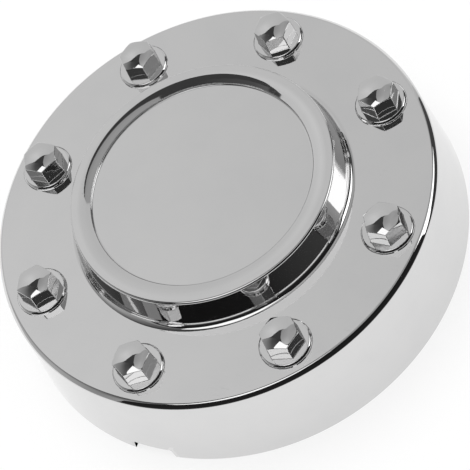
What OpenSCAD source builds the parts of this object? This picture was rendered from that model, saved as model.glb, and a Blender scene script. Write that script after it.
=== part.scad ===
// Center cap for an eight-stud light-truck wheel.
// One hollow moulded shell: drafted skirt, flat face, raised ring round a shallow dish, domed nut covers.
// The cap stands on its open rim. The origin is the centre of the rim plane, +Z runs up through the face
// and the pry notch faces -Y. All sizes are in millimetres.

/* [Shell] */
// Outside diameter of the open rim
cap_d = 211; // [204:1:240]
// Height of the flat face above the rim
face_h = 43; // [30:1:60]
// Lean of the skirt away from upright, in degrees
skirt_draft = 5.4; // [1:0.1:7]
// Thickness of the moulded wall
wall = 2.5; // [2:0.1:3]
// Rounding where the face turns down into the skirt
face_edge_r = 2.4; // [0.6:0.1:4]
// Rounding of both edges of the rim
rim_edge_r = 0.5; // [0.2:0.1:0.8]
// Rounding of the tight corners on the inside
inner_edge_r = 0.5; // [0.2:0.1:1]

/* [Raised ring] */
// Width of the ring's flat top, from the dish to its outer edge
ring_top_w = 5.4; // [3:0.1:8]
// Height of the ring's flat top above the face
ring_h = 15; // [10:0.5:22]
// Lean of the ring's outer wall away from upright, in degrees
ring_draft = 11; // [2:0.5:12]
// Rounding at the foot of the ring
ring_foot_r = 3.2; // [1:0.1:4]
// Rounding of the ring's outer top edge
ring_edge_r = 1.2; // [0.4:0.1:2.4]

/* [Dish] */
// Diameter of the flat floor
floor_d = 102; // [90:0.5:108]
// Width of the sloping border between the floor and the ring's flat top
border_w = 4; // [2:0.1:6]
// Fall of the dish's border towards its floor, in degrees
dish_slope = 14.7; // [5:0.1:25]
// Broad rounding between the ring's flat top and the dish's border
dish_blend_r = 18; // [4:1:24]
// Small step down from the border to the floor
floor_step = 0.85; // [0.4:0.05:1.5]
// Rounding at the edge of the floor
floor_foot_r = 0.8; // [0.2:0.1:1.2]
// Rounding of the step's upper edge
floor_lip_r = 0.25; // [0.1:0.05:0.5]

/* [Nut covers] */
// Number of nut covers
nut_count = 8; // [5:1:10]
// Diameter of the circle that the nut covers stand on
nut_circle_d = 170; // [162:1:174]
// Width of a nut cover across its flats
nut_af = 15.4; // [12:0.1:17]
// Height of a nut cover's crown above the face
nut_h = 11.6; // [8:0.1:18]
// Radius of the domed top of a nut cover
nut_dome_r = 19; // [12:0.5:40]
// Rounding of a nut cover's upright edges
nut_edge_r = 0.5; // [0.2:0.1:1.5]
// Wall thickness of a nut cover
nut_wall = 2; // [1.5:0.1:2.5]
// Diameter of the round flange under a nut cover
flange_d = 23.4; // [21:0.1:25]
// Height of that flange above the face
flange_h = 1.5; // [0.6:0.1:2.5]
// Rounding of the flange's top edge
flange_edge_r = 1.1; // [0.2:0.1:1.4]

/* [Pry notch] */
// Width of the notch at the rim
notch_w = 20.4; // [10:0.1:30]
// Height of the notch
notch_h = 5.6; // [3:0.1:9]
// Lean of the notch's two ends, in degrees
notch_lean = 10; // [0:1:30]
// Rounding of the notch's two upper corners
notch_corner_r = 0.6; // [0.2:0.1:2]

/* [Inside] */
// Thickness of a gusset between face and skirt
gusset_t = 1.6; // [1:0.1:2.2]
// Length of a gusset along the underside of the face
gusset_reach = 14; // [8:1:20]
// Drop of a gusset down the skirt
gusset_drop = 18; // [8:1:24]
// Gap between the pry notch's top and the foot of the snap bead
bead_gap = 1.5; // [1:0.1:2.5]
// How far the snap bead stands in from the skirt
bead_out = 1.2; // [0.6:0.1:1.6]

/* [Hidden] */
$fn = 128;

rim_r = cap_d / 2;
face_r = rim_r - face_h * tan(skirt_draft);
ring_z = face_h + ring_h;
dish_r = floor_d / 2 + border_w;
ring_top_r = dish_r + ring_top_w;
ring_base_r = ring_top_r + ring_h * tan(ring_draft);
step_z = ring_z - border_w * tan(dish_slope);
floor_z = step_z - floor_step;
pitch = 360 / nut_count;
notch_at = -90;
overlap = 1;  // how far pieces run into each other so that they fuse

// The outer skin from the axis to the rim, each point as [radius, height, rounding].
floor_skin = [
  [0, floor_z, 0],
  [floor_d / 2, floor_z, floor_foot_r]
];
ring_skin = [
  [dish_r, ring_z, dish_blend_r],
  [ring_top_r, ring_z, ring_edge_r],
  [ring_base_r, face_h, ring_foot_r],
  [face_r, face_h, face_edge_r],
  [rim_r, 0, rim_edge_r]
];
skin = concat(floor_skin, [[floor_d / 2, step_z, floor_lip_r]], ring_skin);

function unit(v) = v / norm(v);
function flat(p) = [p.x, p.y];
// Where the line through p along u crosses the line through q along v.
function meet(p, u, q, v) = p + u * cross(q - p, v) / cross(u, v);
// The turn of an outline at its corner b: above 0 to the left, below 0 to the right.
function turn(a, b, c) = cross(flat(b) - flat(a), flat(c) - flat(b));
// A direction turned a quarter to the right, which on the skin points into the wall.
function right_of(u) = [u.y, -u.x];
// A corner's rounding one wall further in, so that the wall keeps its thickness round the bend.
function inner_rounding(a, b, c) =
  turn(a, b, c) < 0 ? max(b[2] - wall, inner_edge_r) : b[2] + wall;

// The inside of the wall: every stretch of an outer path moved in by the wall's thickness.
function moved_in(path) =
  let (
    last = len(path) - 1,
    dirs = [for (i = [0 : last - 1]) unit(flat(path[i + 1]) - flat(path[i]))],
    feet = [for (i = [0 : last - 1]) flat(path[i]) + right_of(dirs[i]) * wall]
  )
  [
    for (i = [0 : last])
      let (p = i == 0 ? meet(feet[0], dirs[0], [0, 0], [0, 1])
             : i == last ? meet(feet[last - 1], dirs[last - 1], [0, 0], [1, 0])
             : meet(feet[i - 1], dirs[i - 1], feet[i], dirs[i]))
        [p.x, p.y, i == 0 ? 0
           : i == last ? path[i][2]
           : inner_rounding(path[i - 1], path[i], path[i + 1])]
  ];

// Radius of the skirt's inner face at height z.
function bore_r(z) = rim_r - wall / cos(skirt_draft) - z * tan(skirt_draft);
// The bead inside the rim that snaps behind the wheel's edge, from its top down.
bead_reach = 3 * bead_out;
bead_z = notch_h + bead_gap + bead_reach;
bead = [
  [bore_r(bead_z + bead_reach), bead_z + bead_reach, 0],
  [bore_r(bead_z) - bead_out, bead_z, bead_out],
  [bore_r(bead_z - bead_reach), bead_z - bead_reach, 0]
];

// The small step round the floor is too fine to show on the inside.
bare_lining = moved_in(concat(floor_skin, ring_skin));
rim_end = len(bare_lining) - 1;
lining = concat([for (i = [0 : rim_end - 1]) bare_lining[i]], bead, [bare_lining[rim_end]]);

function backwards(list) = [for (i = [len(list) - 1 : -1 : 0]) list[i]];

// Half of the angle between the two sides of the corner b.
function half_angle(a, b, c) = acos(unit(flat(a) - flat(b)) * unit(flat(c) - flat(b))) / 2;
// How far a corner's rounding reaches along its sides.
function reach(pts, i) =
  let (n = len(pts), k = (i + n) % n, b = pts[k])
    b[2] == 0 ? 0 : b[2] / tan(half_angle(pts[(k + n - 1) % n], b, pts[(k + 1) % n]));
// The share of its rounding that a corner keeps where the roundings on one side would meet.
function share(pts, i) =
  let (
    n = len(pts),
    b = flat(pts[i]),
    before = norm(b - flat(pts[(i + n - 1) % n])) / (reach(pts, i - 1) + reach(pts, i)),
    after = norm(b - flat(pts[(i + 1) % n])) / (reach(pts, i) + reach(pts, i + 1))
  )
    min(1, 0.98 * before, 0.98 * after);

// The sliver between the sharp corner b and an arc of radius r that touches both of its sides.
// With a bite it reaches that far past the corner.
module corner_sliver(a, b, c, r, bite) {
  u = unit(a - b);
  v = unit(c - b);
  w = unit(u + v);
  half = half_angle(a, b, c);
  centre = b + w * r / sin(half);
  difference() {
    polygon([b - w * bite, b + u * r / tan(half), centre, b + v * r / tan(half)]);
    translate(centre) circle(r);
  }
}

// A closed outline of [x, y, rounding] points, listed anticlockwise.
module rounded_outline(pts, bite = 0) {
  n = len(pts);
  module slivers(side) {
    for (i = [0 : n - 1])
      let (a = pts[(i + n - 1) % n], b = pts[i], c = pts[(i + 1) % n])
        if (b[2] > 0 && turn(a, b, c) * side > 0)
          corner_sliver(flat(a), flat(b), flat(c), b[2] * share(pts, i), bite);
  }
  difference() {
    union() {
      polygon([for (p = pts) flat(p)]);
      slivers(-1);
    }
    slivers(1);
  }
}

// The bare shell with its even wall.
module shell() {
  rotate_extrude() rounded_outline(concat(lining, backwards(skin)));
}

// A six-sided plug with a domed crown: across its flats af, crown at height h above the face.
module hex_plug(af, h, dome_r, edge_r, foot) {
  corner = af / 2 / cos(30);
  intersection() {
    translate([0, 0, foot]) linear_extrude(h - foot)
      rounded_outline([for (i = [0 : 5]) [corner * cos(60 * i), corner * sin(60 * i), edge_r]]);
    translate([0, 0, h - dome_r]) sphere(dome_r);
  }
}

// One nut cover, a corner of its hexagon pointing outwards.
module nut_cover() {
  rotate_extrude() rounded_outline([
    [0, -wall / 2, 0],
    [flange_d / 2, -wall / 2, 0],
    [flange_d / 2, flange_h, flange_edge_r],
    [0, flange_h, 0]
  ]);
  hex_plug(nut_af, nut_h, nut_dome_r, nut_edge_r, -wall / 2);
}

// The hollow behind one nut cover, sharp in its corners and open to the inside of the cap.
module nut_hollow() {
  hex_plug(nut_af - 2 * nut_wall, nut_h - nut_wall, nut_dome_r - nut_wall, 0, -wall - overlap);
}

// Places its children round the circle of nut covers.
module on_nut_circle() {
  for (i = [0 : nut_count - 1])
    rotate([0, 0, notch_at + i * pitch]) translate([nut_circle_d / 2, 0, face_h]) children();
}

// The notch in the rim that takes a lever.
module pry_notch() {
  top_w = notch_w - 2 * notch_h * tan(notch_lean);
  flare = overlap * tan(notch_lean);
  rotate([0, 0, notch_at])
    translate([rim_r - wall - 4, 0, 0]) rotate([90, 0, 90]) linear_extrude(wall + 8)
      rounded_outline([
        [-notch_w / 2 - flare, -overlap, 0],
        [notch_w / 2 + flare, -overlap, 0],
        [top_w / 2, notch_h, notch_corner_r],
        [-top_w / 2, notch_h, notch_corner_r]
      ], notch_corner_r / 2);
}

// A thin gusset in the corner under the face, halfway between two nut covers.
module gusset() {
  underside = face_h - wall;
  top_r = bore_r(underside);
  foot_r = bore_r(underside - gusset_drop);
  rotate([90, 0, 0]) translate([0, 0, -gusset_t / 2]) linear_extrude(gusset_t)
    polygon([
      [top_r - gusset_reach, underside + overlap],
      [top_r - gusset_reach, underside],
      [foot_r, underside - gusset_drop],
      [foot_r + overlap, underside - gusset_drop],
      [top_r + overlap, underside + overlap]
    ]);
}

// The cap, moulded in one piece.
module cap_shell() {
  color([0.78, 0.79, 0.8]) difference() {
    union() {
      shell();
      on_nut_circle() nut_cover();
      for (i = [0 : nut_count - 1]) rotate([0, 0, notch_at + (i + 0.5) * pitch]) gusset();
    }
    on_nut_circle() nut_hollow();
    pry_notch();
  }
}

cap_shell();
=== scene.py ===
# %% [markdown]
# # A chromed wheel center cap
#
# The cap is one thin moulding of ABS plastic, plated with copper, nickel and chromium until it mirrors
# the room. A mirror forgives nothing: every rounding draws a line of light, and a normal that is a
# tenth of a degree off bends the whole reflection. So the lesson is mostly about exact surfaces, and
# about the room they look into.
#
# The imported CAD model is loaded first. It fixes the size and the place of everything that follows.

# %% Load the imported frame
import math

import bmesh
import bpy
from mathutils import Matrix, Vector


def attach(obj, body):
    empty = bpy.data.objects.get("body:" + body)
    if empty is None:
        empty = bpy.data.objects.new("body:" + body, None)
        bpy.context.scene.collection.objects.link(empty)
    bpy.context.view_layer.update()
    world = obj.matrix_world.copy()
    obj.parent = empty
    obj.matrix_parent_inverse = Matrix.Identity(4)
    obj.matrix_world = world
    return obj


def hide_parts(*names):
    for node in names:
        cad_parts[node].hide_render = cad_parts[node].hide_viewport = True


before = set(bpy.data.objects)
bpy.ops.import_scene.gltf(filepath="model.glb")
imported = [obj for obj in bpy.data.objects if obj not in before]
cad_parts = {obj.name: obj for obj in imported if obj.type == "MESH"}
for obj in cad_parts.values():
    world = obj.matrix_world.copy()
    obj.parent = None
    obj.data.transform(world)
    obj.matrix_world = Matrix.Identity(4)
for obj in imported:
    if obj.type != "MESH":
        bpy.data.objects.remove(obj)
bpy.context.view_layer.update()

# %% [markdown]
# ## The sizes of the cap
#
# These are the CAD model's own sizes, in millimetres and with the same names, and those of the notch and
# the nut covers follow in their own steps. The origin is the centre of the open rim, +Z runs up through
# the face and the pry notch faces -Y.

# %% Sizes of the wall, the ring and the dish
cap_d = 211.0
face_h = 43.0
skirt_draft = math.radians(5.4)
wall = 2.5
face_edge_r, rim_edge_r, inner_edge_r = 2.4, 0.5, 0.5

ring_top_w = 5.4
ring_h = 15.0
ring_draft = math.radians(11)
ring_foot_r, ring_edge_r = 3.2, 1.2

floor_d = 102.0
border_w = 4.0
dish_slope = math.radians(14.7)
floor_step = 0.85
dish_blend_r, floor_foot_r, floor_lip_r = 18.0, 0.8, 0.25

rim_r = cap_d / 2
face_r = rim_r - face_h * math.tan(skirt_draft)
ring_z = face_h + ring_h
dish_r = floor_d / 2 + border_w
ring_top_r = dish_r + ring_top_w
ring_base_r = ring_top_r + ring_h * math.tan(ring_draft)
step_z = ring_z - border_w * math.tan(dish_slope)
floor_z = step_z - floor_step
print("radius of the flat face", round(face_r, 2), "height of the dish floor", round(floor_z, 2))

# %% [markdown]
# ## The section of the wall
#
# The moulding is a solid of revolution apart from its nut covers, gussets and notch, so its section is
# drawn once and turned round the axis. Each corner is written as radius, height and rounding. From
# that list a helper works out the arcs, and with every point it keeps the exact normal of the surface.
# Blender would otherwise average the normals of neighbouring facets, which a mirror shows as a smear
# beside every rounding.

# %% Corners of the outer skin and of the lining
skin_corners = [
    (0.0, floor_z, 0.0),
    (floor_d / 2, floor_z, floor_foot_r),
    (floor_d / 2, step_z, floor_lip_r),
    (dish_r, ring_z, dish_blend_r),
    (ring_top_r, ring_z, ring_edge_r),
    (ring_base_r, face_h, ring_foot_r),
    (face_r, face_h, face_edge_r),
    (rim_r, 0.0, rim_edge_r),
]


def unit(x, z):
    """The direction of a line in the section."""
    length = math.hypot(x, z)
    return x / length, z / length


def moved_in(corners):
    """The path one wall further in, with the roundings that keep the wall even."""
    shifted = []
    for (ax, az, _), (bx, bz, _) in zip(corners, corners[1:]):
        ux, uz = unit(bx - ax, bz - az)
        shifted.append(((ax + uz * wall, az - ux * wall), (ux, uz)))
    path = [(0.0, shifted[0][0][1], 0.0)]
    for i in range(1, len(corners) - 1):
        (px, pz), (ux, uz) = shifted[i - 1]
        (qx, qz), (vx, vz) = shifted[i]
        turn = ux * vz - uz * vx
        along = ((qx - px) * vz - (qz - pz) * vx) / turn
        rounding = corners[i][2]
        rounding = max(rounding - wall, inner_edge_r) if turn < 0 else rounding + wall
        path.append((px + ux * along, pz + uz * along, rounding))
    path.append((rim_r - wall / math.cos(skirt_draft), 0.0, rim_edge_r))
    return path


# The small step round the floor is too fine to show on the inside.
lining_corners = moved_in([c for c in skin_corners if c[1] != step_z])
underside_z = face_h - wall


def bore_r(z):
    """Radius of the skirt's inner face at a height."""
    return rim_r - wall / math.cos(skirt_draft) - z * math.tan(skirt_draft)


notch_h = 5.6
bead_gap, bead_out = 1.5, 1.2
bead_reach = 3 * bead_out
bead_z = notch_h + bead_gap + bead_reach
bead_corners = [
    (bore_r(bead_z - bead_reach), bead_z - bead_reach, 0.15),
    (bore_r(bead_z) - bead_out, bead_z, bead_out),
    (bore_r(bead_z + bead_reach), bead_z + bead_reach, 0.15),
]
section = skin_corners + [lining_corners[-1]] + bead_corners + lining_corners[-2::-1]
print(len(section), "corners; the lining's top is at", round(lining_corners[0][1], 2))

# %% [markdown]
# ### From corners to points
#
# Each corner becomes an arc. The outer edge of the face is the exception. In the photograph it mirrors
# one broad dark band, and a plain arc gives only a thin one, so that edge is a soft chamfer: it turns
# quickly at both ends and slowly between, and stays within a third of a millimetre of the arc.

# %% Turn the corners into points with exact normals
def bend(a, b, c):
    """The rounding of corner b: points of radius, height and the outward normal."""
    ux, uz = unit(a[0] - b[0], a[1] - b[1])
    vx, vz = unit(c[0] - b[0], c[1] - b[1])
    half = math.acos(max(-1.0, min(1.0, ux * vx + uz * vz))) / 2
    wx, wz = unit(ux + vx, uz + vz)
    cx, cz = b[0] + wx * b[2] / math.sin(half), b[1] + wz * b[2] / math.sin(half)
    side = 1 if (-ux) * vz - (-uz) * vx < 0 else -1
    first = math.atan2(b[1] + uz * b[2] / math.tan(half) - cz, b[0] + ux * b[2] / math.tan(half) - cx)
    sweep = (math.pi - 2 * half) * -side
    steps = 8 if b[2] < 2 else 16
    arc = []
    for i in range(steps + 1):
        t = first + sweep * i / steps
        arc.append((cx + b[2] * math.cos(t), cz + b[2] * math.sin(t), side * math.cos(t), side * math.sin(t)))
    return arc


def soft_chamfer(arc, amount=0.92, steps=20, fine=8):
    """The same corner, turning quickly at both ends and slowly between, added up in fine steps."""
    (r, z, nr, nz), (end_r, end_z, end_nr, end_nz) = arc[0], arc[-1]
    first, turn = math.atan2(nz, nr), math.atan2(end_nz, end_nr) - math.atan2(nz, nr)
    way, x, y, corner = (1 if turn < 0 else -1), 0.0, 0.0, []
    for i in range(steps * fine + 1):
        t = i / (steps * fine)
        angle = first + turn * (t + amount * math.sin(2 * math.pi * t) / (2 * math.pi))
        if i % fine == 0:
            corner.append((x, y, math.cos(angle), math.sin(angle)))
        x, y = x + way * math.sin(angle), y - way * math.cos(angle)
    size = math.hypot(end_r - r, end_z - z) / math.hypot(corner[-1][0], corner[-1][1])
    return [(r + x * size, z + y * size, nx, nz) for x, y, nx, nz in corner]


arcs = [bend(section[i - 1], section[i], section[i + 1]) for i in range(1, len(section) - 1)]
# The places in arcs of the rounding at the face's outer edge and of the lining's corner behind it.
face_ring = section.index(skin_corners[-2]) - 1
inner_edge = section.index(lining_corners[-2]) - 1
arcs[face_ring] = soft_chamfer(arcs[face_ring])
print("points in the section:", sum(len(a) for a in arcs))

# %% [markdown]
# ## A small mesh builder
#
# Everything that belongs to the moulding goes into one mesh, as it does in the mould. The builder
# collects points, faces and a normal for every face corner. Keeping the normals by corner lets the
# same point be smooth on one face and part of a crisp edge on the next.

# %% The builder
MM = 0.001
OUTSIDE, INSIDE = 0, 1


class Moulding:
    """The points and faces of the whole moulding; sizes go in as millimetres."""

    def __init__(self):
        self.points, self.faces, self.normals, self.finish = [], [], [], []

    def point(self, x, y, z):
        self.points.append((x * MM, y * MM, z * MM))
        return len(self.points) - 1

    def face(self, corners, normals, finish):
        """A face; a corner that repeats its neighbour is left out."""
        kept = [i for i in range(len(corners)) if corners[i] != corners[i - 1]]
        if len(kept) > 2:
            self.faces.append([corners[i] for i in kept])
            self.normals.extend(normals[i] for i in kept)
            self.finish.append(finish)

    def band(self, lower, upper, n_lower, n_upper, finish):
        """Quads between two closed rows of points that run the same way round."""
        for i in range(len(lower)):
            j = (i + 1) % len(lower)
            self.face([lower[i], lower[j], upper[j], upper[i]],
                      [n_lower[i], n_lower[j], n_upper[j], n_upper[i]], finish)

    def fan(self, row, n_row, middle, n_middle, finish):
        """Triangles between a closed row and one point in its middle."""
        for i in range(len(row)):
            j = (i + 1) % len(row)
            self.face([row[i], row[j], middle], [n_row[i], n_row[j], n_middle], finish)


cap = Moulding()
print("finishes by number: outside", OUTSIDE, "inside", INSIDE)

# %% [markdown]
# ## The pry notch
#
# A lever goes under the rim here to take the cap off. Cutting the notch with a boolean would spoil the
# exact normals round it, so the grid of the skirt is bent instead: columns of points slide along the
# cone until one of them follows the notch's end, and the faces between are left out.

# %% Where each column of the grid runs
COLUMNS = 360
NOTCH_COLUMNS = 6
notch_w = 20.4
notch_lean = math.radians(10)
notch_corner_r = 0.6
bent_top = 14.0    # above this height the columns stand evenly


def notch_edge(z):
    """Half the width of the notch at a height, with its upper corners rounded."""
    centre_z = notch_h - notch_corner_r
    if z <= centre_z + notch_corner_r * math.sin(notch_lean):
        return notch_w / 2 - z * math.tan(notch_lean)
    centre_x = notch_w / 2 - (notch_corner_r + centre_z * math.sin(notch_lean)) / math.cos(notch_lean)
    return centre_x + math.sqrt(max(0.0, notch_corner_r ** 2 - (z - centre_z) ** 2))


def column_angle(column, r, z):
    """Angle of a grid column on the wall, measured from the notch."""
    k = column if column <= COLUMNS // 2 else column - COLUMNS
    step = math.radians(360 / COLUMNS)
    if abs(k) > 2 * NOTCH_COLUMNS or z > bent_top:
        return k * step
    ease = min(1.0, max(0.0, (bent_top - z) / (bent_top - notch_h)))
    edge = math.asin(notch_edge(z) / r)
    edge = NOTCH_COLUMNS * step + (edge - NOTCH_COLUMNS * step) * ease
    if abs(k) <= NOTCH_COLUMNS:
        return edge * k / NOTCH_COLUMNS
    far = 2 * NOTCH_COLUMNS * step
    return math.copysign(edge + (far - edge) * (abs(k) - NOTCH_COLUMNS) / NOTCH_COLUMNS, k)


print("notch half width at rim and top:", [round(notch_edge(z), 2) for z in (0, notch_h)])

# %% [markdown]
# ## Turning the section
#
# A lathe does this in one move, and so does a loop: every point of the section becomes a row of points
# round the axis, and neighbouring rows are joined by quads. A fan closes the middle of the dish.

# %% Turn the section round the axis
def ring_of(r, z, nr, nz):
    """One row of points round the axis with their normals."""
    angles = [column_angle(k, r, z) for k in range(COLUMNS)]
    row = [cap.point(r * math.sin(a), -r * math.cos(a), z) for a in angles]
    return row, [(nr * math.sin(a), -nr * math.cos(a), nz) for a in angles]


def lathe(points, finish):
    """Bands between rows; returns the first and the last row of points."""
    rows = [ring_of(*p) for p in points]
    for (low, n_low), (high, n_high) in zip(rows, rows[1:]):
        cap.band(high, low, n_high, n_low, finish)
    return rows[0], rows[-1]


def cap_off(row, z, facing, finish):
    """Closes the middle of a row with a fan round the axis."""
    up = (0, 0, facing)
    cap.fan(row[::facing], [up] * COLUMNS, cap.point(0, 0, z), up, finish)


top_rows = lathe([p for arc in arcs[:face_ring] for p in arc], OUTSIDE)
cap_off(top_rows[0][0], floor_z, 1, OUTSIDE)
lining_rows = lathe([p for arc in arcs[inner_edge + 1:] for p in arc], INSIDE)
cap_off(lining_rows[1][0], lining_corners[0][1], -1, INSIDE)
print("faces so far:", len(cap.faces))

# %% [markdown]
# ### Skirt and rim
#
# The same rows run on over the edge of the face, down the skirt, round the rim and up the lining with its
# snap bead. Between the columns of the notch the faces are left out.

# %% The skirt, the rim and the lining up to the face
# Beside the notch the rows follow its rounded corner, with three more below it.
corner_turns = [notch_lean + (math.pi / 2 - notch_lean) * i / 6 for i in range(7)]
corner_levels = [notch_h - notch_corner_r + notch_corner_r * math.sin(turn) for turn in corner_turns]
levels = corner_levels[::-1] + [3.5, 1.8, 0.8]
out_r, out_z = math.cos(skirt_draft), math.sin(skirt_draft)
above = [(rim_r - z * math.tan(skirt_draft), z, out_r, out_z) for z in (bent_top, 9.0)]
going_down = [(rim_r - z * math.tan(skirt_draft), z, out_r, out_z) for z in levels] + arcs[face_ring + 1]
coming_up = arcs[face_ring + 2] + [(bore_r(z), z, -out_r, -out_z) for z in levels[::-1]]
bead_and_corner = [p for arc in arcs[face_ring + 3:inner_edge + 1] for p in arc]

plan = [(p, OUTSIDE) for p in arcs[face_ring] + above + going_down]
plan += [(p, INSIDE) for p in coming_up + bead_and_corner]
rows = [(p, *ring_of(*p), finish) for p, finish in plan]
first = len(arcs[face_ring]) + len(above)
notch_rows = rows[first:first + len(going_down) + len(coming_up)]
open_columns = [k % COLUMNS for k in range(-NOTCH_COLUMNS, NOTCH_COLUMNS)]
for m, ((_, low, n_low, _), (_, high, n_high, finish)) in enumerate(zip(rows, rows[1:])):
    in_notch = first <= m < first + len(notch_rows) - 1
    for i in range(COLUMNS):
        if not (in_notch and i in open_columns):
            j = (i + 1) % COLUMNS
            cap.face([high[i], high[j], low[j], low[i]], [n_high[i], n_high[j], n_low[j], n_low[i]], finish)
print("rows in skirt and rim:", len(rows), "rows beside the notch:", len(notch_rows))

# %% The notch's own walls
outer_side = notch_rows[:len(going_down)]
inner_side = notch_rows[:len(going_down) - 1:-1]


def end_normal(z, side):
    """Normal of the notch's end wall at a height: level at the top, leaning by the draft below."""
    turn = math.asin(max(math.sin(notch_lean), min(1.0, (z - notch_h + notch_corner_r) / notch_corner_r)))
    return (-side * math.cos(turn), 0, -math.sin(turn))


for side in (-1, 1):
    k = side * NOTCH_COLUMNS % COLUMNS
    for m in range(len(outer_side) - 1):
        around = [outer_side[m], outer_side[m + 1], inner_side[m + 1], inner_side[m]][::side]
        cap.face([row[1][k] for row in around], [end_normal(row[0][1], side) for row in around], INSIDE)
for k in range(-NOTCH_COLUMNS, NOTCH_COLUMNS):
    i, j = k % COLUMNS, (k + 1) % COLUMNS
    out, into = outer_side[0][1], inner_side[0][1]
    cap.face([out[i], into[i], into[j], out[j]], [(0, 0, -1)] * 4, INSIDE)
print("faces with the notch:", len(cap.faces))

# %% [markdown]
# ## The nut covers
#
# Eight false nuts stand on the face. Each is a hexagon with a domed crown on a round flange, hollow
# from behind so that the wall stays even and the plastic cools without sink marks. The crown is part
# of a sphere, so its meeting line with each side is an arc: that scalloped line is what the eye reads
# as a nut. A very small rounding runs along it, because a moulded and plated edge is never sharp, and
# in a mirror that rounding shows as a bright thread. The sides draw in a little towards the top, as the
# photograph shows, and that draft decides which strip of the room each side mirrors.

# %% Outline of a hexagon with rounded corners
nut_circle_d = 170.0
nut_af = 15.4
nut_h = 11.6
nut_dome_r = 19.0
nut_wall = 2.0
flange_d = 23.4
flange_h = 1.5
flange_edge_r = 1.1
nut_edge_r = 0.5
nut_side = 8.8                     # height over which the sides draw in
nut_foot, nut_head = 1.03, 0.97    # width of the hexagon at its foot and under its crown
nut_draft = math.atan(nut_af / 2 * (nut_foot - nut_head) / nut_side)


def hexagon(across_flats, rounding, corner_steps=4, side_steps=5):
    """Points and outward normals round a hexagon, one corner on the +x axis."""
    points = []
    for corner in range(6):
        turn = math.radians(60 * corner)
        reach = (across_flats / 2 - rounding) / math.cos(math.pi / 6)
        cx, cy = reach * math.cos(turn), reach * math.sin(turn)
        arc = [turn + math.radians(60) * (i / corner_steps - 0.5) for i in range(corner_steps + 1)]
        points += [(cx + rounding * math.cos(t), cy + rounding * math.sin(t), math.cos(t), math.sin(t))
                   for t in arc]
        after = turn + math.radians(30)
        length = 2 * (across_flats / 2 - rounding) * math.tan(math.pi / 6)
        from_x, from_y = points[-1][:2]
        for i in range(1, side_steps):
            along = length * i / side_steps
            points.append((from_x - math.sin(after) * along, from_y + math.cos(after) * along,
                           math.cos(after), math.sin(after)))
    return points


outline = hexagon(nut_af, nut_edge_r)
print("points round a nut cover:", len(outline), "draft in degrees", round(math.degrees(nut_draft), 2))

# %% One nut cover, rows of points from the flange's foot to the crown
def blend_of(a, b, t):
    """A unit direction between two unit directions."""
    mixed = Vector(a).lerp(Vector(b), t)
    angle = math.acos(max(-1.0, min(1.0, Vector(a).dot(Vector(b)))))
    if angle > 1e-6:
        mixed = (Vector(a) * math.sin((1 - t) * angle) + Vector(b) * math.sin(t * angle)) / math.sin(angle)
    return mixed.normalized()


def flange_rows():
    """Rows up the flange's edge and on to its top."""
    around = [math.atan2(y, x) for x, y, _, _ in outline]
    r, up = flange_d / 2, flange_h - flange_edge_r
    profile = [(r, 0.0, 1.0, 0.0), (r, up, 1.0, 0.0)]
    profile += soft_chamfer([profile[-1], (r - flange_edge_r, flange_h, 0.0, 1.0)], amount=0.85, steps=10)[1:]
    return [[((r * math.cos(a), r * math.sin(a), z), (nr * math.cos(a), nr * math.sin(a), nz))
             for a in around] for r, z, nr, nz in profile]


def foot_rows(fillet=0.3, steps=4):
    """Rows of the small fillet between the flange and the sides."""
    rows = []
    for i in range(steps + 1):
        t = (math.pi / 2 - nut_draft) * i / steps
        gap, z = fillet * (1 - math.sin(t)), flange_h + fillet * (1 - math.cos(t))
        rows.append([((x * nut_foot + nx * gap, y * nut_foot + ny * gap, z),
                      (nx * math.sin(t), ny * math.sin(t), math.cos(t))) for x, y, nx, ny in outline])
    return rows


def crown_rows(edge=0.35, steps=6, rings=13):
    """Rows over the rounded edge of the crown, and on towards its middle."""
    centre_z = nut_h - nut_dome_r
    spokes = []
    for x, y, nx, ny in outline:
        x, y = x * nut_head, y * nut_head
        corner = Vector((x, y, centre_z + math.sqrt(nut_dome_r ** 2 - x * x - y * y)))
        crown = (corner - Vector((0, 0, centre_z))) / nut_dome_r
        side = Vector((nx * math.cos(nut_draft), ny * math.cos(nut_draft), math.sin(nut_draft)))
        middle = corner - (side + crown) * edge / (1 + side.dot(crown))
        ways = [blend_of(side, crown, i / steps) for i in range(steps + 1)]
        spoke = [(tuple(middle + way * edge), tuple(way)) for way in ways]
        end_x, end_y, _ = spoke[-1][0]
        for i in range(1, rings):
            x, y = end_x * (1 - i / rings), end_y * (1 - i / rings)
            z = math.sqrt(nut_dome_r ** 2 - x * x - y * y)
            spoke.append(((x, y, centre_z + z), (x / nut_dome_r, y / nut_dome_r, z / nut_dome_r)))
        spokes.append(spoke)
    return list(zip(*spokes))


nut_rows = flange_rows() + foot_rows() + crown_rows()
print("rows in a nut cover:", len(nut_rows))

# %% Set eight nut covers on the face
def turned(angle, n):
    """A direction of the nut's own frame, x pointing away from the axis, turned to its place."""
    return (n[0] * math.sin(angle) + n[1] * math.cos(angle),
            -n[0] * math.cos(angle) + n[1] * math.sin(angle), n[2])


def placed(angle, x, y, z):
    """A point of the nut's own frame added to the cap, at a height above the rim."""
    return cap.point(*turned(angle, (x + nut_circle_d / 2, y, z)))


nut_count = 8
nut_angles = [2 * math.pi * number / nut_count for number in range(nut_count)]
flange_feet = []
for angle in nut_angles:
    rows_here = []
    for row in nut_rows:
        ids = [placed(angle, x, y, face_h + z) for (x, y, z), _ in row]
        rows_here.append((ids, [turned(angle, n) for _, n in row]))
    for (low, n_low), (high, n_high) in zip(rows_here, rows_here[1:]):
        cap.band(low, high, n_low, n_high, OUTSIDE)
    cap.fan(*rows_here[-1], placed(angle, 0, 0, face_h + nut_h), (0, 0, 1), OUTSIDE)
    flange_feet.append(rows_here[0][0])
print("faces with the nut covers:", len(cap.faces))

# %% [markdown]
# ### The hollows
#
# From behind, each nut cover is a six-sided pocket with a domed end, one nut wall inside the outer form.

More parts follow.
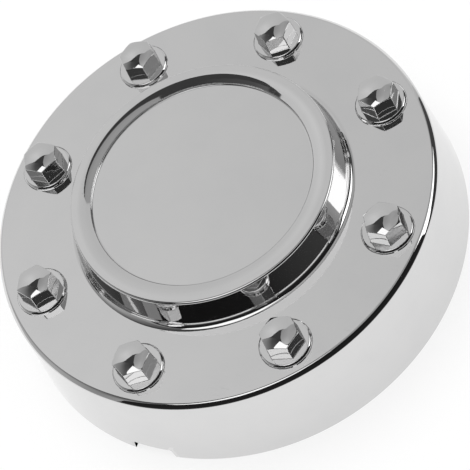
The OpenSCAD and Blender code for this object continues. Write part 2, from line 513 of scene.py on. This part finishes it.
# %% The hollow behind each nut cover
hollow = hexagon(nut_af - 2 * nut_wall, rounding=0.02, corner_steps=1, side_steps=4)
hollow_dome, hollow_centre = nut_dome_r - nut_wall, face_h + nut_h - nut_dome_r
hollow_mouths = []
for angle in nut_angles:
    mouth = [placed(angle, x, y, underside_z) for x, y, _, _ in hollow]
    domed = []
    for shrink in (1.0, 0.75, 0.5, 0.25):
        row, n_row = [], []
        for x, y, _, _ in hollow:
            x, y = x * shrink, y * shrink
            z = math.sqrt(hollow_dome ** 2 - x * x - y * y)
            row.append(placed(angle, x, y, hollow_centre + z))
            n_row.append(turned(angle, (-x / hollow_dome, -y / hollow_dome, -z / hollow_dome)))
        domed.append((row, n_row))
    inward = [turned(angle, (-nx, -ny, 0)) for _, _, nx, ny in hollow]
    cap.band(domed[0][0], mouth, inward, inward, INSIDE)
    for (wide, n_wide), (narrow, n_narrow) in zip(domed, domed[1:]):
        cap.band(narrow, wide, n_narrow, n_wide, INSIDE)
    last, n_last = domed[-1]
    middle = placed(angle, 0, 0, hollow_centre + hollow_dome)
    cap.fan(last[::-1], n_last[::-1], middle, (0, 0, -1), INSIDE)
    hollow_mouths.append(mouth)
print("faces with the hollows:", len(cap.faces))

# %% [markdown]
# ## The flat face and its underside
#
# Both are flat rings with eight openings. A triangle fill closes such a plate whatever its holes are,
# and because every corner gets the same normal, the odd triangles never show in the mirror.

# %% Fill a flat plate between closed rows of points
def fill_plate(loops, facing, finish):
    """Triangles between an outer row of points and the rows of its openings."""
    plate = bmesh.new()
    back = {}
    for loop in loops:
        verts = [plate.verts.new(cap.points[i]) for i in loop]
        back.update(zip(verts, loop))
        for a, b in zip(verts, verts[1:] + verts[:1]):
            plate.edges.new((a, b))
    bmesh.ops.triangle_fill(plate, use_beauty=True, use_dissolve=False, edges=plate.edges[:],
                            normal=(0, 0, facing))
    for face in plate.faces:
        face.normal_update()
        corners = [back[v] for v in face.verts]
        cap.face(corners if face.normal.z * facing > 0 else corners[::-1], [(0, 0, facing)] * 3, finish)
    made = len(plate.faces)
    plate.free()
    return made


print("face:", fill_plate([top_rows[1][0], rows[0][1]] + flange_feet, 1, OUTSIDE), "triangles")
print("underside:", fill_plate([lining_rows[0][0], rows[-1][1]] + hollow_mouths, -1, INSIDE), "triangles")

# %% [markdown]
# ## Gussets
#
# Thin ribs stiffen the corner between skirt and face. They are thinner than the wall, so that they leave
# no sink marks in the bright surface above them. Their edges run a little into the wall.

# %% Gussets in the corner under the face
gusset_t, gusset_reach, gusset_drop, overlap = 1.6, 14.0, 18.0, 1.0
tip_z = underside_z - gusset_drop
top_r, foot_r = bore_r(underside_z), bore_r(tip_z)
gusset = [(top_r - gusset_reach, underside_z + overlap), (top_r - gusset_reach, underside_z),
          (foot_r, tip_z), (foot_r + overlap, tip_z), (top_r + overlap, underside_z + overlap)]
for angle in nut_angles:
    angle += math.pi / nut_count
    out = Vector((math.sin(angle), -math.cos(angle), 0))
    across = Vector((math.cos(angle), math.sin(angle), 0))
    near, far = [[cap.point(*(out * r + across * half + Vector((0, 0, z)))) for r, z in gusset]
                 for half in (-gusset_t / 2, gusset_t / 2)]
    cap.face(near, [tuple(-across)] * 5, INSIDE)
    cap.face(far[::-1], [tuple(across)] * 5, INSIDE)
    for i in range(5):
        j = (i + 1) % 5
        ux, uz = unit(gusset[j][0] - gusset[i][0], gusset[j][1] - gusset[i][1])
        normal = tuple(out * uz - Vector((0, 0, ux)))
        cap.face([near[j], near[i], far[i], far[j]], [normal] * 4, INSIDE)
print("faces in all:", len(cap.faces))

# %% [markdown]
# ## From the builder to Blender
#
# The collected points become one mesh, with the exact normals set as custom normals. The CAD solid is hidden,
# and the piece rides on the same body in its place.

# %% Make the Blender mesh
def object_from(moulding, name):
    """A Blender object with the moulding's faces, finishes and normals."""
    mesh = bpy.data.meshes.new(name)
    mesh.from_pydata(moulding.points, [], moulding.faces)
    mesh.polygons.foreach_set("use_smooth", [True] * len(mesh.polygons))
    mesh.polygons.foreach_set("material_index", moulding.finish)
    mesh.normals_split_custom_set(moulding.normals)
    piece = bpy.data.objects.new(name, mesh)
    bpy.context.scene.collection.objects.link(piece)
    return piece


cap_piece = object_from(cap, "cap")
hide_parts("cap_shell")
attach(cap_piece, "root")
bpy.context.view_layer.update()

# %% [markdown]
# ## The camera
#
# The photograph is taken from above with a long lens, and the cap is turned in the frame. Place, turn
# and lens come from fitting the rim, the ring and the nut circle to the photograph. The three axes of
# the camera are written as the columns of its matrix.

# %% Camera
camera_data = bpy.data.cameras.new("camera")
camera_data.sensor_width = 36.0
camera_data.lens = 162.33
camera = bpy.data.objects.new("camera", camera_data)
bpy.context.scene.collection.objects.link(camera)
right = Vector((0.879005, 0.355204, -0.31809))
up = Vector((-0.166031, 0.85338, 0.494142))
back = Vector((0.446973, -0.38154, 0.8091))
place = Matrix((right, up, back)).transposed().to_4x4()
place.translation = Vector((0.426849, -0.36425, 0.782668))
camera.matrix_world = place
camera_data.clip_start, camera_data.clip_end = 0.05, 50.0
bpy.context.scene.camera = camera
bpy.context.scene.view_settings.view_transform = "Standard"
print("camera stands", round(place.translation.length * 1000), "mm from the origin")

# %% [markdown]
# ## Nodes by name
#
# Cards, floor, world and plating are all made of nodes. A few helpers lay nodes down and join them, so
# that each recipe is short enough to read.

# %% Helpers for node trees
def add(tree, kind, **settings):
    """A node with its properties set; keys that name an input set that input."""
    node = tree.nodes.new("ShaderNode" + kind)
    for key, value in settings.items():
        name = key.replace("_", " ")
        if name in node.inputs and not hasattr(node, key):
            node.inputs[name].default_value = value
        else:
            setattr(node, key, value)
    return node


def maths(tree, operation, a, b=None, clamp=False):
    """A Math node from two sockets or numbers."""
    node = add(tree, "Math", operation=operation, use_clamp=clamp)
    for socket, value in zip(node.inputs, (a, b)):
        if isinstance(value, bpy.types.NodeSocket):
            tree.links.new(value, socket)
        elif value is not None:
            socket.default_value = value
    return node.outputs[0]


def remap(tree, value, low, high, to_low=0.0, to_high=1.0):
    """A smooth step from one range to another."""
    node = add(tree, "MapRange", interpolation_type="SMOOTHSTEP")
    tree.links.new(value, node.inputs["Value"])
    for label, number in (("From Min", low), ("From Max", high), ("To Min", to_low), ("To Max", to_high)):
        node.inputs[label].default_value = number
    return node.outputs["Result"]


def bare_material(name):
    """A new material whose tree holds only its output; returns it, its tree and the surface socket."""
    material = bpy.data.materials.new(name)
    material.use_nodes = True
    material.node_tree.nodes.clear()
    return material, material.node_tree, add(material.node_tree, "OutputMaterial").inputs["Surface"]


def blended(tree, factor, first, second):
    """A Mix Shader: the first shader where the factor is 0, the second where it is 1."""
    node = add(tree, "MixShader")
    for socket, value in zip(node.inputs, (factor, first.outputs[0], second.outputs[0])):
        tree.links.new(value, socket)
    return node


def seen_directly(tree):
    """1 for camera, glossy and transmission rays, 0 for rays that only light a matt surface."""
    path = add(tree, "LightPath")
    either = maths(tree, "MAXIMUM", path.outputs["Is Camera Ray"], path.outputs["Is Glossy Ray"])
    return maths(tree, "MAXIMUM", either, path.outputs["Is Transmission Ray"])


print("helpers:", ", ".join(f.__name__ for f in (add, maths, remap, bare_material, blended, seen_directly)))

# %% [markdown]
# ## The room that the chrome looks into
#
# Chrome has no colour of its own to speak of: what the eye reads as chrome is the studio around it. One
# lamp and an even sky would give a grey disc. A photographer hangs large cards instead: a pale sweep
# behind the object, a grey sheet overhead, black flags beside the camera to draw dark lines along the
# edges, and one or two white boxes for the highlights. They are built here as they would be hung. Each
# card is a few corners given by compass angle and height angle, far enough away that the cap's own size
# doesn't matter, and it shines only into reflections, so it adds no light to anything dull.

# %% Cards
FAR = 20.0
LAYER_GAP = 3.0
STEPS = 6    # rows of small triangles from a panel's middle to each of its sides


def direction(azimuth, elevation):
    """Unit vector towards a compass angle (0 in front, along -Y) and a height angle."""
    a, e = math.radians(azimuth), math.radians(elevation)
    return Vector((math.sin(a) * math.cos(e), -math.cos(a) * math.cos(e), math.sin(e)))


def card_material(name, mirrored_twice):
    """A glow read from the mesh, clear to rays that reached it by the other number of mirrors."""
    material, tree, surface = bare_material(name)
    depth = add(tree, "LightPath").outputs["Ray Depth"]
    other = maths(tree, "LESS_THAN" if mirrored_twice else "GREATER_THAN", depth, 1.5)
    glow = add(tree, "Emission")
    tree.links.new(add(tree, "VertexColor", layer_name="tone").outputs["Color"], glow.inputs["Color"])
    tree.links.new(blended(tree, other, glow, add(tree, "BsdfTransparent")).outputs[0], surface)
    return material


seen_once = card_material("card_seen_once", False)
seen_twice = card_material("card_seen_twice", True)


def hang(name, panels, layer, material=seen_once):
    """Panels given by corners of (azimuth, elevation, tone), curved round the cap; a higher layer
    hangs in front."""
    points, shades, faces = [], [], []
    for corners in panels:
        tips = [(direction(a, e), t) for a, e, t in corners]
        middle = sum((d for d, _ in tips), Vector()) / len(tips)
        grey = sum(t for _, t in tips) / len(tips)
        for (p, tone_p), (q, tone_q) in zip(tips, tips[1:] + tips[:1]):
            row_start = []
            for i in range(STEPS + 1):
                row_start.append(len(points))
                for j in range(STEPS + 1 - i):
                    u, v = i / STEPS, j / STEPS
                    spot = middle * (1 - u - v) + p * u + q * v
                    points.append(spot.normalized() * (FAR - LAYER_GAP * layer))
                    shades.append(grey * (1 - u - v) + tone_p * u + tone_q * v)
            for i in range(STEPS):
                for j in range(STEPS - i):
                    here, above = row_start[i] + j, row_start[i + 1] + j
                    faces.append((here, here + 1, above))
                    if j < STEPS - i - 1:
                        faces.append((here + 1, above + 1, above))
    mesh = bpy.data.meshes.new(name)
    mesh.from_pydata(points, [], faces)
    tone = mesh.color_attributes.new("tone", "FLOAT_COLOR", "POINT")
    for i, t in enumerate(shades):
        tone.data[i].color = (t, t, t, 1)
    mesh.materials.append(material)
    card = bpy.data.objects.new(name, mesh)
    bpy.context.scene.collection.objects.link(card)
    card.visible_camera = card.visible_diffuse = card.visible_shadow = False
    card.visible_transmission = card.visible_volume_scatter = False
    return card


def hang_strip(name, columns, layer, material=seen_once):
    """One sheet between columns of (azimuth, [(elevation, tone), ...])."""
    panels = []
    for (a, left), (b, right) in zip(columns, columns[1:]):
        for m in range(len(left) - 1):
            panels.append([(a, *left[m]), (b, *right[m]), (b, *right[m + 1]), (a, *left[m + 1])])
    return hang(name, panels, layer, material)


def tones(azimuth, *values, levels=(-2, 25, 45, 60, 75, 89.5)):
    """A column for hang_strip, its tones given from the lowest level up."""
    return azimuth, list(zip(levels, values))


print("the cards hang", FAR - 3 * LAYER_GAP, "to", FAR + LAYER_GAP, "m from the cap")

# %% The cards that the surface mirrors directly
# Black flags stand beside the camera and the side walls are grey low down. The black wedge above the
# sweep draws the dark arc in the far slope of the dish.
hang_strip("flag", [tones(a, 0.30, 0.16, 0.02, 0.015, 0.015, 0.015, levels=(-2, 7, 15, 45, 70, 89.5))
                    for a in (-32, 18, 68, 118)], 0)
hang_strip("flag_right", [tones(118, *[0.03] * 6), tones(154, *[0.06] * 6), tones(168, *[0.09] * 6)], 0)
hang_strip("side_right", [
    tones(168, 0.6, 0.55, 0.36, 0.4, 0.4, 0.4),
    tones(190, 0.7, 0.68, 0.5, 0.4, 0.4, 0.4)], 0)
hang_strip("wedge", [tones(a, *[0.055] * 6) for a in (190, 228, 266)], 0)
hang_strip("side_left", [
    tones(262, 0.62, 0.40, 0.30, 0.09, 0.05, 0.04),
    tones(281, 0.60, 0.40, 0.26, 0.09, 0.05, 0.04),
    tones(300, 0.55, 0.48, 0.24, 0.10, 0.07, 0.04),
    tones(318, 0.40, 0.30, 0.13, 0.12, 0.08, 0.04),
    tones(328, 0.40, 0.38, 0.35, 0.14, 0.08, 0.04)], 0)

# The pale sweep behind the cap, with its upper edge.
hang_strip("sweep", [
    (172, [(-2, 0.72), (15, 0.72), (22, 0.67), (26, 0.67)]),
    (184, [(-2, 0.67), (25, 0.66), (34, 0.64), (44, 0.63)]),
    (192, [(-2, 0.65), (25, 0.65), (40, 0.64), (56.8, 0.64)]),
    (200, [(-2, 0.64), (25, 0.64), (45, 0.65), (58.3, 0.66)]),
    (222.5, [(-2, 0.65), (25, 0.66), (45, 0.70), (58.8, 0.68)]),
    (241, [(-2, 0.65), (25, 0.68), (45, 0.79), (59.6, 0.78)]),
    (250, [(-2, 0.65), (20, 0.67), (40, 0.76), (58.2, 0.77)]),
    (257, [(-2, 0.64), (20, 0.65), (38, 0.72), (57.0, 0.75)]),
    (263, [(-2, 0.63), (20, 0.64), (36, 0.70), (54.0, 0.74)]),
    (267, [(-2, 0.62), (15, 0.63), (30, 0.68), (48.0, 0.72)]),
    (270, [(-2, 0.62), (12, 0.63), (24, 0.66), (37.0, 0.70)]),
    (273, [(-2, 0.61), (6, 0.62), (12, 0.63), (20.0, 0.65)])], 2)

# The grey sheet overhead, the white box above the camera and the one to its right.
hang("overhead", [[(212, 61.4, 0.34), (200, 58, 0.38), (182, 46, 0.46), (168, 43, 0.40), (156, 48, 0.45),
                   (142, 57, 0.46), (131, 62, 0.47), (118, 66, 0.48), (95, 71, 0.50), (66, 76, 0.60),
                   (34, 80, 0.64), (320, 84, 0.50), (275, 84, 0.45), (240, 78.3, 0.38)]], 1)
hang("top_box", [[(a, e, 1.45) for a, e in (
    (290, 80.5), (316, 61), (335, 53), (10, 50), (38, 62), (68, 71), (41, 79))]], 3)
hang("side_box", [[(a, e, 2.1) for a, e in ((118, 22), (153, 22), (151, 46), (120, 50))]], 3)
directly = sum(seen_once.name in mesh.materials for mesh in bpy.data.meshes)
print("cards for the first reflection:", directly)

# %% [markdown]
# ### A second set of cards
#
# A picture of chrome is seldom one exposure. The upright walls of the ring and of the nut covers show
# the room by way of the flat face, so they are mirrored twice, and a photographer lights them for a
# second plate with the cards moved. The next cards are that second set-up: they show only in rays that
# have met two mirrors, while the first ones show only in rays that have met one. The two highest are
# brighter than the sheets of the first set, because two mirrors dim them twice. In the photograph the
# ring's mirror image is lost in the face beside it, and so it is here.

# %% The cards that are mirrored twice
def hang_band(place, low, high, cards):
    """Cards side by side between two heights, each a list of (azimuth, tone), behind all the others."""
    for shade, stops in cards.items():
        hang_strip(f"{place}_{shade}", [(a, [(low, t), (high, t)]) for a, t in stops], -1, seen_twice)


hang_band("behind_ring", 20, 40.5, {
    "dark": [(-32, 0.015), (0, 0.012), (36, 0.015), (72, 0.05), (103, 0.07)],
    "grey": [(103, 0.34), (114, 0.38), (124, 0.56)],
    "box": [(124, 2.1), (138, 2.1), (153, 2.1)],
    "flag": [(153, 0.08), (167, 0.11)],
    "right": [(167, 0.42), (180, 0.30), (192, 0.52)],
    "left": [(248, 0.7), (268, 0.36), (286, 0.34), (304, 0.21), (317, 0.12)],
    "strip": [(317, 0.36), (328, 0.36)]})
hang_band("behind_ring", 20, 48, {"sweep": [(195, 0.52), (230, 0.6), (248, 0.7)]})
hang_band("far_nuts", 40.5, 48, {
    "left": [(248, 0.50), (264, 0.36)],
    "shade": [(264, 0.12), (297, 0.06)],
    "grey": [(297, 0.30), (322, 0.28)],
    "dark": [(322, 0.06), (352, 0.08)],
    "white": [(-8, 1.55), (12, 1.65), (24, 1.5)],
    "flag": [(24, 0.06), (60, 0.05), (86, 0.07)],
    "right": [(86, 0.40), (119, 0.36)],
    "box": [(119, 1.2), (145, 1.2)],
    "end": [(145, 0.36), (170, 0.42), (195, 0.45)]})
hang_band("near_nuts", 48, 53, {
    "grey": [(192, 0.30), (225, 0.40), (262, 0.50)],
    "left": [(262, 0.20), (300, 0.10)],
    "white": [(-60, 1.25), (-20, 1.3), (4, 1.6), (24, 1.4)],
    "flag": [(24, 0.06), (60, 0.05), (109, 0.07)],
    "right": [(109, 0.40), (124, 0.42), (152, 0.36), (192, 0.30)]})
hang_band("under_nuts", 53, 60, {
    "left": [(225, 0.30), (255, 0.12), (295, 0.06)],
    "grey": [(295, 0.30), (321, 0.26)],
    "dark": [(-39, 0.05), (0, 0.05), (24, 0.05)],
    "white": [(24, 1.3), (41, 1.3)],
    "flag": [(41, 0.05), (66, 0.05), (90, 0.05)],
    "right": [(90, 0.50), (125, 0.36), (163, 0.34)],
    "end": [(163, 0.06), (195, 0.10), (225, 0.30)]})
hang_band("low", -2, 20, {"dark": [
    (150, 0.3), (165, 0.3), (178, 0.42), (192, 0.42), (204, 0.05), (230, 0.03), (250, 0.04), (262, 0.5),
    (284, 0.5), (295, 0.04), (315, 0.3)]})
hang_band("behind", 60, 74, {"face": [(a, 1.07) for a in range(0, 361, 30)]})
hang_band("above", 74, 89.5, {"face": [(a, 1.07) for a in range(0, 361, 30)]})
print("cards for the second reflection:", sum(seen_twice.name in mesh.materials for mesh in bpy.data.meshes))

# %% [markdown]
# ## Floor, light and world
#
# The floor is a plain pale sheet. It must read white in the picture and in the skirt's reflection, and
# yet keep the cap's soft shadow, so part of its white is written as a glow for camera, glossy and
# transmission rays, and the rest is a matt colour under the light. The light itself is soft: an even
# world and one broad lamp overhead, at a level at which a colour renders about as it is written. From
# below, the sheet is clear, so that the underside of the cap can be looked at.

# %% Floor
EDGES = 72
floor_edge = [(FAR * math.cos(2 * math.pi * k / EDGES), FAR * math.sin(2 * math.pi * k / EDGES), 0)
              for k in range(EDGES)]
floor_mesh = bpy.data.meshes.new("floor")
floor_mesh.from_pydata(floor_edge, [], [list(range(EDGES))])
floor = bpy.data.objects.new("floor", floor_mesh)
bpy.context.scene.collection.objects.link(floor)

glow_share = 0.8
sheet, tree, surface = bare_material("floor_sheet")
matt = add(tree, "BsdfDiffuse", Color=(0.93, 0.93, 0.93, 1))
glow = add(tree, "Emission", Color=(1, 1, 1, 1))
above = blended(tree, maths(tree, "MULTIPLY", seen_directly(tree), glow_share), matt, glow)
under = add(tree, "NewGeometry").outputs["Backfacing"]
tree.links.new(blended(tree, under, above, add(tree, "BsdfTransparent")).outputs[0], surface)
floor_mesh.materials.append(sheet)
print("floor:", 2 * FAR, "m across, glow share", glow_share)

# %% Light and world
lamp_data = bpy.data.lights.new("soft_lamp", "AREA")
lamp_data.shape = "DISK"
lamp_data.size = 1.2
lamp_data.energy = 14.0
lamp = bpy.data.objects.new("soft_lamp", lamp_data)
bpy.context.scene.collection.objects.link(lamp)
lamp.location = (-0.5, 0.3, 1.6)
lamp.rotation_euler = (-lamp.location).to_track_quat("-Z", "Y").to_euler()
lamp.visible_glossy = lamp.visible_camera = False

world = bpy.data.worlds.new("room")
bpy.context.scene.world = world
world.use_nodes = True
tree = world.node_tree
background = tree.nodes["Background"]
background.inputs["Color"].default_value = (1, 1, 1, 1)
world_light = 0.75
tree.links.new(remap(tree, seen_directly(tree), 0.0, 1.0, world_light, 1.0), background.inputs["Strength"])
print("lamp:", lamp_data.energy, "W, world:", world_light, "on matt surfaces and 1 where it is seen")

# %% [markdown]
# ## The plating
#
# The outside is bright chromium over nickel over copper. Its colour is an even cold grey, and what makes it
# look real is how little is wrong with it: the moulding under the metal is never quite flat, the buffing
# leaves a breath of haze, wiping leaves hairlines and some dust has settled. The waves, the hairlines and the
# dust are each a node group that gives a value or a mask; the two finishes share some of them, and each
# material decides what to do with it.

# %% Helpers for surface effects
def effect(name, inputs, outputs):
    """A node group with named sockets; returns it with its input and output nodes."""
    group = bpy.data.node_groups.new(name, "ShaderNodeTree")
    for label, value in inputs:
        group.interface.new_socket(label, in_out="INPUT", socket_type="NodeSocketFloat").default_value = value
    for label in outputs:
        group.interface.new_socket(label, in_out="OUTPUT", socket_type="NodeSocketFloat")
    return group, group.nodes.new("NodeGroupInput"), group.nodes.new("NodeGroupOutput")


def stretched(tree, turn, scale):
    """Object coordinates turned about Z and scaled, in millimetres."""
    place = add(tree, "TexCoord")
    fit = add(tree, "Mapping")
    fit.inputs["Rotation"].default_value = (0, 0, math.radians(turn))
    fit.inputs["Scale"].default_value = tuple(1000 * v for v in scale)
    tree.links.new(place.outputs["Object"], fit.inputs["Vector"])
    return fit.outputs["Vector"]


def noise(tree, vector, scale, detail=2.0, roughness=0.5):
    """The value of a Noise Texture."""
    node = add(tree, "TexNoise", Scale=scale, Detail=detail, Roughness=roughness)
    tree.links.new(vector, node.inputs["Vector"])
    return node.outputs["Fac"]


print("helpers for effects:", ", ".join(f.__name__ for f in (effect, stretched, noise)))

# %% [markdown]
# ### Moulding waves
#
# ABS shrinks as it cools, and it shrinks most over thick places and far from the gate, so a flat face
# comes out of the mould with long, shallow waves a few thousandths of a millimetre high. Two sizes of
# noise make them. The group gives a height, and a Bump node in the material turns it into a normal.

# %% Moulding waves
waves, entry, leave = effect("moulding_waves", [("Long", 1.0), ("Short", 0.2)], ["Height"])
long_wave = noise(waves, stretched(waves, 20, (1, 1, 1)), 0.028, detail=1.0)
short_wave = noise(waves, stretched(waves, -35, (1, 1, 1)), 0.16, detail=2.0)
height = maths(waves, "ADD", maths(waves, "MULTIPLY", long_wave, entry.outputs["Long"]),
               maths(waves, "MULTIPLY", short_wave, entry.outputs["Short"]))
waves.links.new(height, leave.inputs["Height"])
print("moulding_waves has", len(waves.nodes), "nodes")

# %% [markdown]
# ### Hairlines
#
# Wiping a dusty mirror leaves scratches far finer than a hair. They run nearly straight, in a few
# directions, and start and stop. Noise that is drawn out nearly fifty times in one direction gives the
# lines, and a second, broad noise lets them appear only here and there.

# %% Hairlines
hairlines, entry, leave = effect("hairline_scratches", [("Amount", 1.0)], ["Mask"])
lines = None
for turn, patch in ((12, 0.09), (71, 0.07), (-48, 0.11)):
    streak = noise(hairlines, stretched(hairlines, turn, (0.05, 2.4, 1.0)), 1.0, detail=2.0, roughness=0.6)
    line = remap(hairlines, streak, 0.665, 0.70)
    where = remap(hairlines, noise(hairlines, stretched(hairlines, turn, (1, 1, 1)), patch), 0.46, 0.62)
    line = maths(hairlines, "MULTIPLY", line, where)
    lines = line if lines is None else maths(hairlines, "MAXIMUM", lines, line)
mask = maths(hairlines, "MULTIPLY", lines, entry.outputs["Amount"], clamp=True)
hairlines.links.new(mask, leave.inputs["Mask"])
print("hairline_scratches has", len(hairlines.nodes), "nodes")

# %% [markdown]
# ### Dust
#
# Dust settles on what faces up, holds less well on the steep walls and not at all on what faces down.
# The specks are the middles of Voronoi cells, each with its own size, and the surface's own normal says
# how many of them stay.

# %% Dust
dust, entry, leave = effect("settled_dust", [("Amount", 1.0), ("Spacing", 3.0)], ["Mask"])
cells = add(dust, "TexVoronoi", feature="F1")
dust.links.new(stretched(dust, 0, (1, 1, 1)), cells.inputs["Vector"])
dust.links.new(maths(dust, "DIVIDE", 1.0, entry.outputs["Spacing"]), cells.inputs["Scale"])
own = add(dust, "SeparateColor")
dust.links.new(cells.outputs["Color"], own.inputs["Color"])
size = maths(dust, "MULTIPLY", maths(dust, "POWER", own.outputs[0], 6.0), 0.055)
speck = remap(dust, maths(dust, "SUBTRACT", size, cells.outputs["Distance"]), 0.0, 0.012)
facing = add(dust, "SeparateXYZ")
dust.links.new(add(dust, "NewGeometry").outputs["Normal"], facing.inputs["Vector"])
upward = remap(dust, facing.outputs["Z"], 0.05, 0.95)
upward = maths(dust, "MAXIMUM", upward, remap(dust, facing.outputs["Z"], 0.0, 0.1, to_high=0.6))
mask = maths(dust, "MULTIPLY", maths(dust, "MULTIPLY", speck, upward), entry.outputs["Amount"], clamp=True)
dust.links.new(mask, leave.inputs["Mask"])
print("settled_dust has", len(dust.nodes), "nodes")

# %% [markdown]
# ### Bright plating
#
# A metal's colour is what it reflects, so the colour stays close to one grey. Roughness does the rest:
# a clean patch is almost a perfect mirror, a hazy one a little softer, and a hairline or a speck of
# dust scatters the light.

# %% Bright plating
def use(tree, group, **values):
    """An effect placed in a material with its own values."""
    node = add(tree, "Group", node_tree=group)
    for label, value in values.items():
        node.inputs[label].default_value = value
    return node.outputs[0]


def mix_colour(tree, factor, a, b):
    """A colour between two, each given as a socket or as three numbers."""
    node = add(tree, "Mix", data_type="RGBA")
    tree.links.new(factor, node.inputs["Factor"])
    for socket, value in ((node.inputs[6], a), (node.inputs[7], b)):
        if isinstance(value, bpy.types.NodeSocket):
            tree.links.new(value, socket)
        else:
            socket.default_value = (*value, 1)
    return node.outputs[2]


plating = bpy.data.materials.new("bright_plating")
plating.use_nodes = True
tree = plating.node_tree
shader = tree.nodes["Principled BSDF"]
haze = remap(tree, noise(tree, stretched(tree, 0, (1, 1, 1)), 0.045, detail=4.0), 0.35, 0.75)
scratch = use(tree, hairlines, Amount=1.0)
specks = use(tree, dust, Amount=1.0, Spacing=2.6)
colour = mix_colour(tree, haze, (0.692, 0.690, 0.690), (0.675, 0.674, 0.676))
tree.links.new(mix_colour(tree, specks, colour, (0.47, 0.46, 0.44)), shader.inputs["Base Color"])
rough = maths(tree, "ADD", 0.022, maths(tree, "MULTIPLY", haze, 0.022))
rough = maths(tree, "MAXIMUM", rough, maths(tree, "MULTIPLY", scratch, 0.13))
rough = maths(tree, "MAXIMUM", rough, maths(tree, "MULTIPLY", specks, 0.5))
tree.links.new(rough, shader.inputs["Roughness"])
tree.links.new(maths(tree, "SUBTRACT", 1.0, maths(tree, "MULTIPLY", specks, 0.8)), shader.inputs["Metallic"])
bump = add(tree, "Bump", Strength=1.0, Distance=0.00004)
tree.links.new(use(tree, waves, Long=1.0, Short=0.12), bump.inputs["Height"])
tree.links.new(bump.outputs["Normal"], shader.inputs["Normal"])
cap_piece.data.materials.append(plating)
print("bright_plating has", len(tree.nodes), "nodes")

# %% [markdown]
# ### Dull plating inside
#
# The mould's core isn't polished, and the metal that reaches the inside is thin, so the lining is a
# satin grey. It gets duller with depth, because the current in the plating bath is weakest in hollows:
# in the nut covers and under the dish the nickel shows a little warm. The core's tool marks run round.

# %% Dull plating, its colour
inside = bpy.data.materials.new("dull_plating")
inside.use_nodes = True
tree = inside.node_tree
shader = tree.nodes["Principled BSDF"]
here = add(tree, "SeparateXYZ")
tree.links.new(add(tree, "TexCoord").outputs["Object"], here.inputs["Vector"])
bright_below, dull_above = 0.006, 0.048
thin = remap(tree, here.outputs["Z"], bright_below, dull_above)
patches = noise(tree, stretched(tree, 0, (1, 1, 1)), 0.06, detail=5.0)
colour = mix_colour(tree, thin, (0.60, 0.60, 0.605), (0.47, 0.455, 0.43))
tree.links.new(mix_colour(tree, remap(tree, patches, 0.4, 0.7), colour, (0.50, 0.495, 0.48)),
               shader.inputs["Base Color"])
shader.inputs["Metallic"].default_value = 1.0
print("the metal thins out between", 1000 * bright_below, "and", 1000 * dull_above, "mm above the rim")

# %% Dull plating, its tool marks and grain
marks_per_metre = 2600.0
across = maths(tree, "SQRT", maths(tree, "ADD", maths(tree, "MULTIPLY", here.outputs["X"], here.outputs["X"]),
                                   maths(tree, "MULTIPLY", here.outputs["Y"], here.outputs["Y"])))
round_marks = add(tree, "TexNoise", noise_dimensions="2D", Scale=1.0, Detail=3.0)
marks_at = add(tree, "CombineXYZ")
tree.links.new(maths(tree, "MULTIPLY", across, marks_per_metre), marks_at.inputs["X"])
tree.links.new(maths(tree, "MULTIPLY", here.outputs["Z"], marks_per_metre), marks_at.inputs["Y"])
tree.links.new(marks_at.outputs["Vector"], round_marks.inputs["Vector"])
grain = noise(tree, stretched(tree, 0, (1, 1, 1)), 2.2, detail=3.0)
rough = maths(tree, "ADD", 0.26, maths(tree, "MULTIPLY", thin, 0.12))
rough = maths(tree, "ADD", rough, maths(tree, "MULTIPLY", patches, 0.08))
scratch = use(tree, hairlines, Amount=1.0)
tree.links.new(maths(tree, "ADD", rough, maths(tree, "MULTIPLY", scratch, 0.12)), shader.inputs["Roughness"])
height = maths(tree, "ADD", maths(tree, "MULTIPLY", round_marks.outputs["Fac"], 0.5),
               maths(tree, "MULTIPLY", grain, 0.35))
bump = add(tree, "Bump", Strength=0.5, Distance=0.00003)
tree.links.new(maths(tree, "ADD", height, use(tree, waves, Long=0.5, Short=0.5)), bump.inputs["Height"])
tree.links.new(bump.outputs["Normal"], shader.inputs["Normal"])
cap_piece.data.materials.append(inside)
print("finishes on the cap:", [m.name for m in cap_piece.data.materials])
